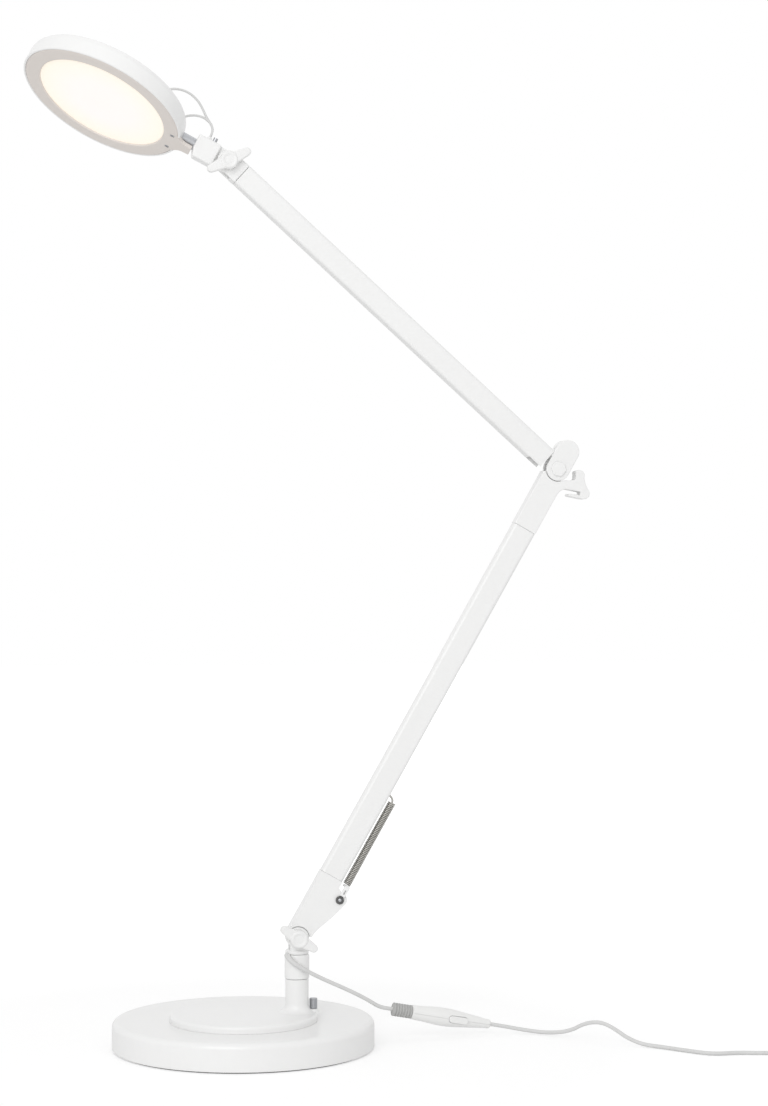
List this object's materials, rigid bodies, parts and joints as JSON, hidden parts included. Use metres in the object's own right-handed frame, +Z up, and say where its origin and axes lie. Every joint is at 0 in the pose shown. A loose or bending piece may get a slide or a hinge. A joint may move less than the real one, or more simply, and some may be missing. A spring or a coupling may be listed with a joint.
{
  "type": "spring-balanced desk lamp",
  "caption": "White desk lamp: round weighted base, swivel post, two straight arms with an outside balance spring, and a flat round tilting and rolling light head on wing-knob joints.",
  "frame": {"origin": "centre of the base's underside, on the table", "axes": "+Z up; at rest both arms stand in the XZ plane, with the elbow towards +X and the head towards -X; -Y is the side with the wing knobs"},
  "size_m": [0.7522, 0.251, 0.8379],
  "materials": {
    "white_enamel": "satin white enamel on steel and zinc castings",
    "bezel_grey": "warm light grey moulded ring",
    "opal_diffuser": "opal sheet, lit",
    "reflector_white": "white",
    "board_white": "white solder mask",
    "chip_yellow": "phosphor",
    "sink_aluminium": "bare",
    "dark_steel": "dark plated steel",
    "spring_steel": "spring wire",
    "zinc_steel": "zinc plated",
    "cast_weight": "rough cast",
    "rubber_pad": "matt",
    "bearing_plastic": "acetal",
    "knob_white": "moulded",
    "switch_white": "moulded",
    "grip_grey": "ribbed soft sleeve",
    "cord_white": "round PVC cord",
    "plated_brass": "nickel plated pins"
  },
  "bodies": {
    "stand": {"base_pad": "rubber_pad", "base_plate": "zinc_steel", "base_weight": "cast_weight", "base_screws": "zinc_steel", "post_bolt": "zinc_steel", "base_cover": "white_enamel", "post_foot": "white_enamel", "post_collar": "white_enamel", "swivel_bush": "bearing_plastic", "cord_gland": "cord_white", "lamp_cord": "cord_white", "adapter_grip": "grip_grey", "adapter_upper": "switch_white", "adapter_lower": "switch_white", "table_cord": "cord_white", "cord_coil": "cord_white", "plug_cord": "cord_white", "plug_body": "cord_white", "plug_pins": "plated_brass"},
    "knob_dial": {"knurled_knob": "dark_steel"},
    "switch": {"switch_button": "switch_white"},
    "swivel": {"swivel_head": "white_enamel", "spindle_clip": "spring_steel", "tilt_bolt": "zinc_steel"},
    "tilt_knob": {"tilt_wing_knob": "knob_white"},
    "lower_arm": {"lower_tube": "white_enamel", "lower_casting": "white_enamel", "spring_pin": "dark_steel", "elbow_casting": "white_enamel", "spring_strap": "spring_steel", "balance_spring": "spring_steel"},
    "pull": {"pull_slider": "bearing_plastic", "pull_wire": "spring_steel"},
    "upper_arm": {"elbow_knuckle": "white_enamel", "drum_wrap": "spring_steel", "upper_tube": "white_enamel", "elbow_bolt": "zinc_steel", "elbow_cap": "white_enamel", "arm_end_clevis": "white_enamel", "head_bolt": "zinc_steel"},
    "head_knob": {"head_wing_knob": "knob_white"},
    "head_joint": {"head_block": "white_enamel", "roll_screw": "zinc_steel"},
    "lamp_head": {"roll_shaft": "zinc_steel", "head_housing": "white_enamel", "head_bezel": "bezel_grey", "bezel_screws": "zinc_steel", "diffuser": "opal_diffuser", "reflector_ring": "reflector_white", "led_board": "board_white", "heat_plate": "sink_aluminium", "led_chips": "chip_yellow", "cable_collars": "knob_white", "head_cable": "cord_white"}
  },
  "joints": [
    {"name": "base_swivel", "type": "hinge", "parent": "stand", "child": "swivel", "pos_m": [0.0453, 0, 0.08], "axis": [0, 0, 1], "range_deg": [-160, 160]},
    {"name": "knurled_knob_turn", "type": "hinge", "parent": "stand", "child": "knob_dial", "pos_m": [0.0593, 0, 0.035], "axis": [0, 0, 1], "range_deg": [-135, 135]},
    {"name": "switch_press", "type": "slide", "parent": "stand", "child": "switch", "axis": [-0.1032, 0.9947, 0], "range_m": [0, 0.0012], "stiffness_N_per_m": 500},
    {"name": "lower_tilt", "type": "hinge", "parent": "swivel", "child": "lower_arm", "pos_m": [0.0453, 0, 0.0913], "axis": [0, -1, 0], "range_deg": [-45, 40]},
    {"name": "tilt_knob_turn", "type": "hinge", "parent": "swivel", "child": "tilt_knob", "pos_m": [0.0453, -0.012, 0.0913], "axis": [0, 1, 0], "range_deg": [-45, 18]},
    {"name": "elbow", "type": "hinge", "parent": "lower_arm", "child": "upper_arm", "pos_m": [0.27004, 0, 0.48692], "axis": [0, -1, 0], "range_deg": [-22, 55]},
    {"name": "pull_slide", "type": "slide", "parent": "lower_arm", "child": "pull", "axis": [0.4939, 0, 0.8695], "range_m": [-0.00277, 0.00692], "deforming": ["balance_spring"]},
    {"name": "head_tilt", "type": "hinge", "parent": "upper_arm", "child": "head_joint", "pos_m": [-0.01366, 0, 0.74273], "axis": [0, -1, 0], "range_deg": [-75, 80]},
    {"name": "head_knob_turn", "type": "hinge", "parent": "upper_arm", "child": "head_knob", "pos_m": [-0.01366, -0.012, 0.74273], "axis": [0, 1, 0], "range_deg": [-45, 45]},
    {"name": "head_roll", "type": "hinge", "parent": "head_joint", "child": "lamp_head", "pos_m": [-0.11531, 0, 0.79542], "axis": [0.8878, 0, -0.4602], "range_deg": [-90, 90], "deforming": ["head_cable"]}
  ],
  "couplings": [
    {"joint": "pull_slide", "follows": "elbow", "m_per_rad": 0.0072}
  ]
}
